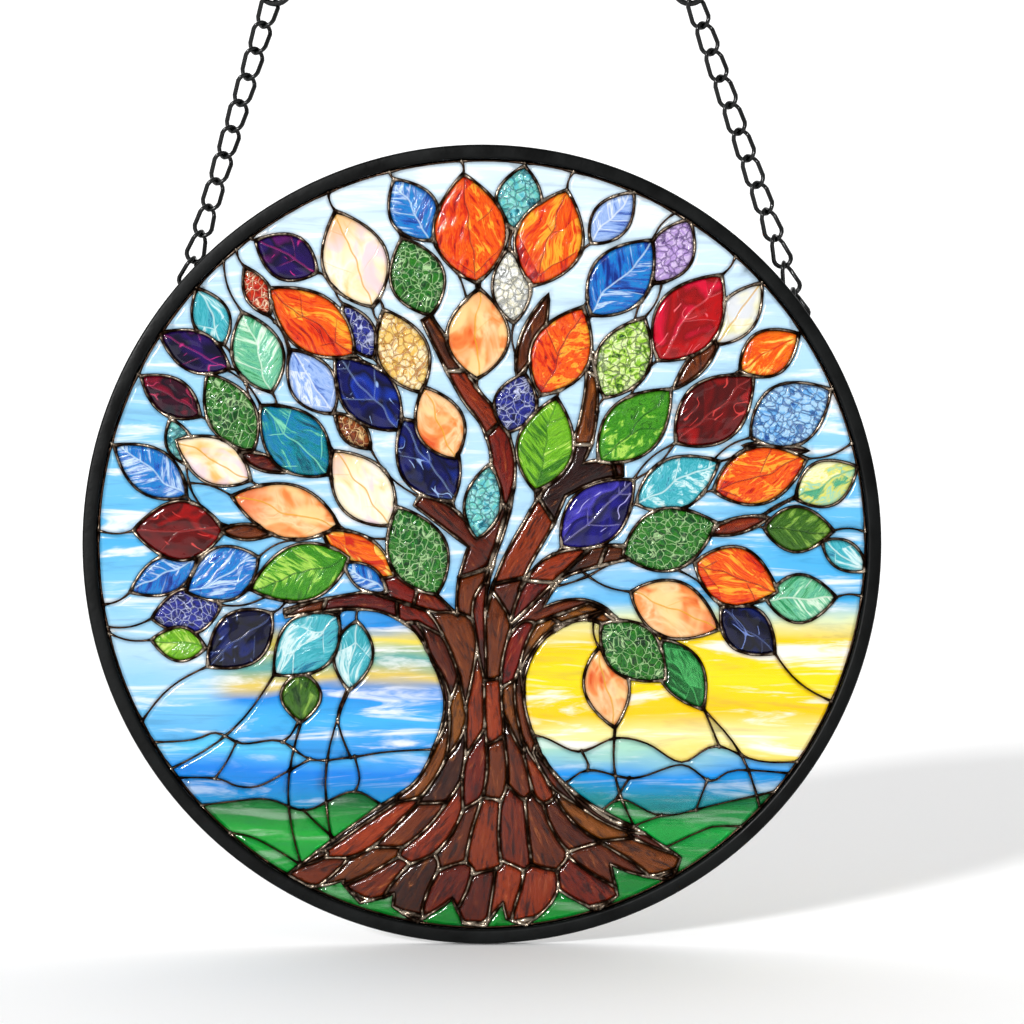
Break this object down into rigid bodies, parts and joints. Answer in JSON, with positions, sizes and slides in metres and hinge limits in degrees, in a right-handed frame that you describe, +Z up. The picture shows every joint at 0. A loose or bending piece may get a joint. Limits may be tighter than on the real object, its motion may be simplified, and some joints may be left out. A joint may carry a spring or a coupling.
{
  "type": "stained glass suncatcher",
  "caption": "Round leaded glass panel with a tree of many-coloured leaves in a black rim, hung by two chains with end rings, to colour daylight at a window.",
  "frame": {"origin": "midway between the two points where the end rings bear on their hooks", "axes": "+Z up, +X to the right of someone facing the front, -Y out of the front of the panel"},
  "size_m": [0.3, 0.0119, 0.3675],
  "materials": {
    "cream": "smooth opal glass with soft colour drifts",
    "peach": "smooth opal glass",
    "flame": "streaky glass",
    "ruby": "smooth deep glass",
    "violet": "smooth deep glass",
    "cobalt": "smooth deep glass",
    "azure": "streaky glass",
    "azure_crackle": "crackle glass",
    "aqua": "streaky glass",
    "teal": "streaky glass",
    "mint": "streaky glass",
    "green": "streaky glass",
    "green_crackle": "crackle glass",
    "gold_crackle": "crackle glass",
    "bark": "streaky brown glass",
    "sky": "wispy glass",
    "water": "wispy glass",
    "meadow": "wispy glass",
    "lead": "dark patinated solder with bright ridges",
    "black_metal": "black satin"
  },
  "bodies": {
    "root": {"cream_leaf_1": "cream", "cream_leaf_2": "cream", "cream_leaf_3": "cream", "peach_leaf_1": "peach", "peach_leaf_2": "peach", "peach_leaf_3": "peach", "peach_leaf_4": "peach", "flame_leaf_1": "flame", "flame_leaf_2": "flame", "flame_leaf_3": "flame", "flame_leaf_4": "flame", "flame_leaf_5": "flame", "flame_leaf_6": "flame", "ruby_leaf_1": "ruby", "ruby_leaf_2": "ruby", "ruby_leaf_3": "ruby", "violet_leaf_1": "violet", "cobalt_leaf_1": "cobalt", "cobalt_leaf_2": "cobalt", "cobalt_leaf_3": "cobalt", "cobalt_leaf_4": "cobalt", "azure_leaf_1": "azure", "azure_leaf_2": "azure", "azure_leaf_3": "azure", "azure_crackle_leaf_1": "azure_crackle", "aqua_leaf_1": "aqua", "aqua_leaf_2": "aqua", "teal_leaf_1": "teal", "mint_leaf_1": "mint", "green_leaf_1": "green", "green_leaf_2": "green", "green_leaf_3": "green", "green_leaf_4": "green", "green_crackle_leaf_1": "green_crackle", "green_crackle_leaf_2": "green_crackle", "green_crackle_leaf_3": "green_crackle", "green_crackle_leaf_4": "green_crackle", "green_crackle_leaf_5": "green_crackle", "green_crackle_leaf_6": "green_crackle", "gold_crackle_leaf_1": "gold_crackle", "bark_glass_1": "bark", "sky_glass_1": "sky", "sky_glass_2": "sky", "sky_glass_3": "sky", "sky_glass_4": "sky", "sky_glass_5": "sky", "sky_glass_6": "sky", "sky_glass_7": "sky", "water_glass_1": "water", "water_glass_2": "water", "meadow_glass_1": "meadow", "meadow_glass_2": "meadow", "leading": "lead", "rim": "black_metal", "left_loop": "black_metal", "right_loop": "black_metal", "left_chain": "black_metal", "right_chain": "black_metal", "left_ring": "black_metal", "right_ring": "black_metal"}
  },
  "joints": []
}
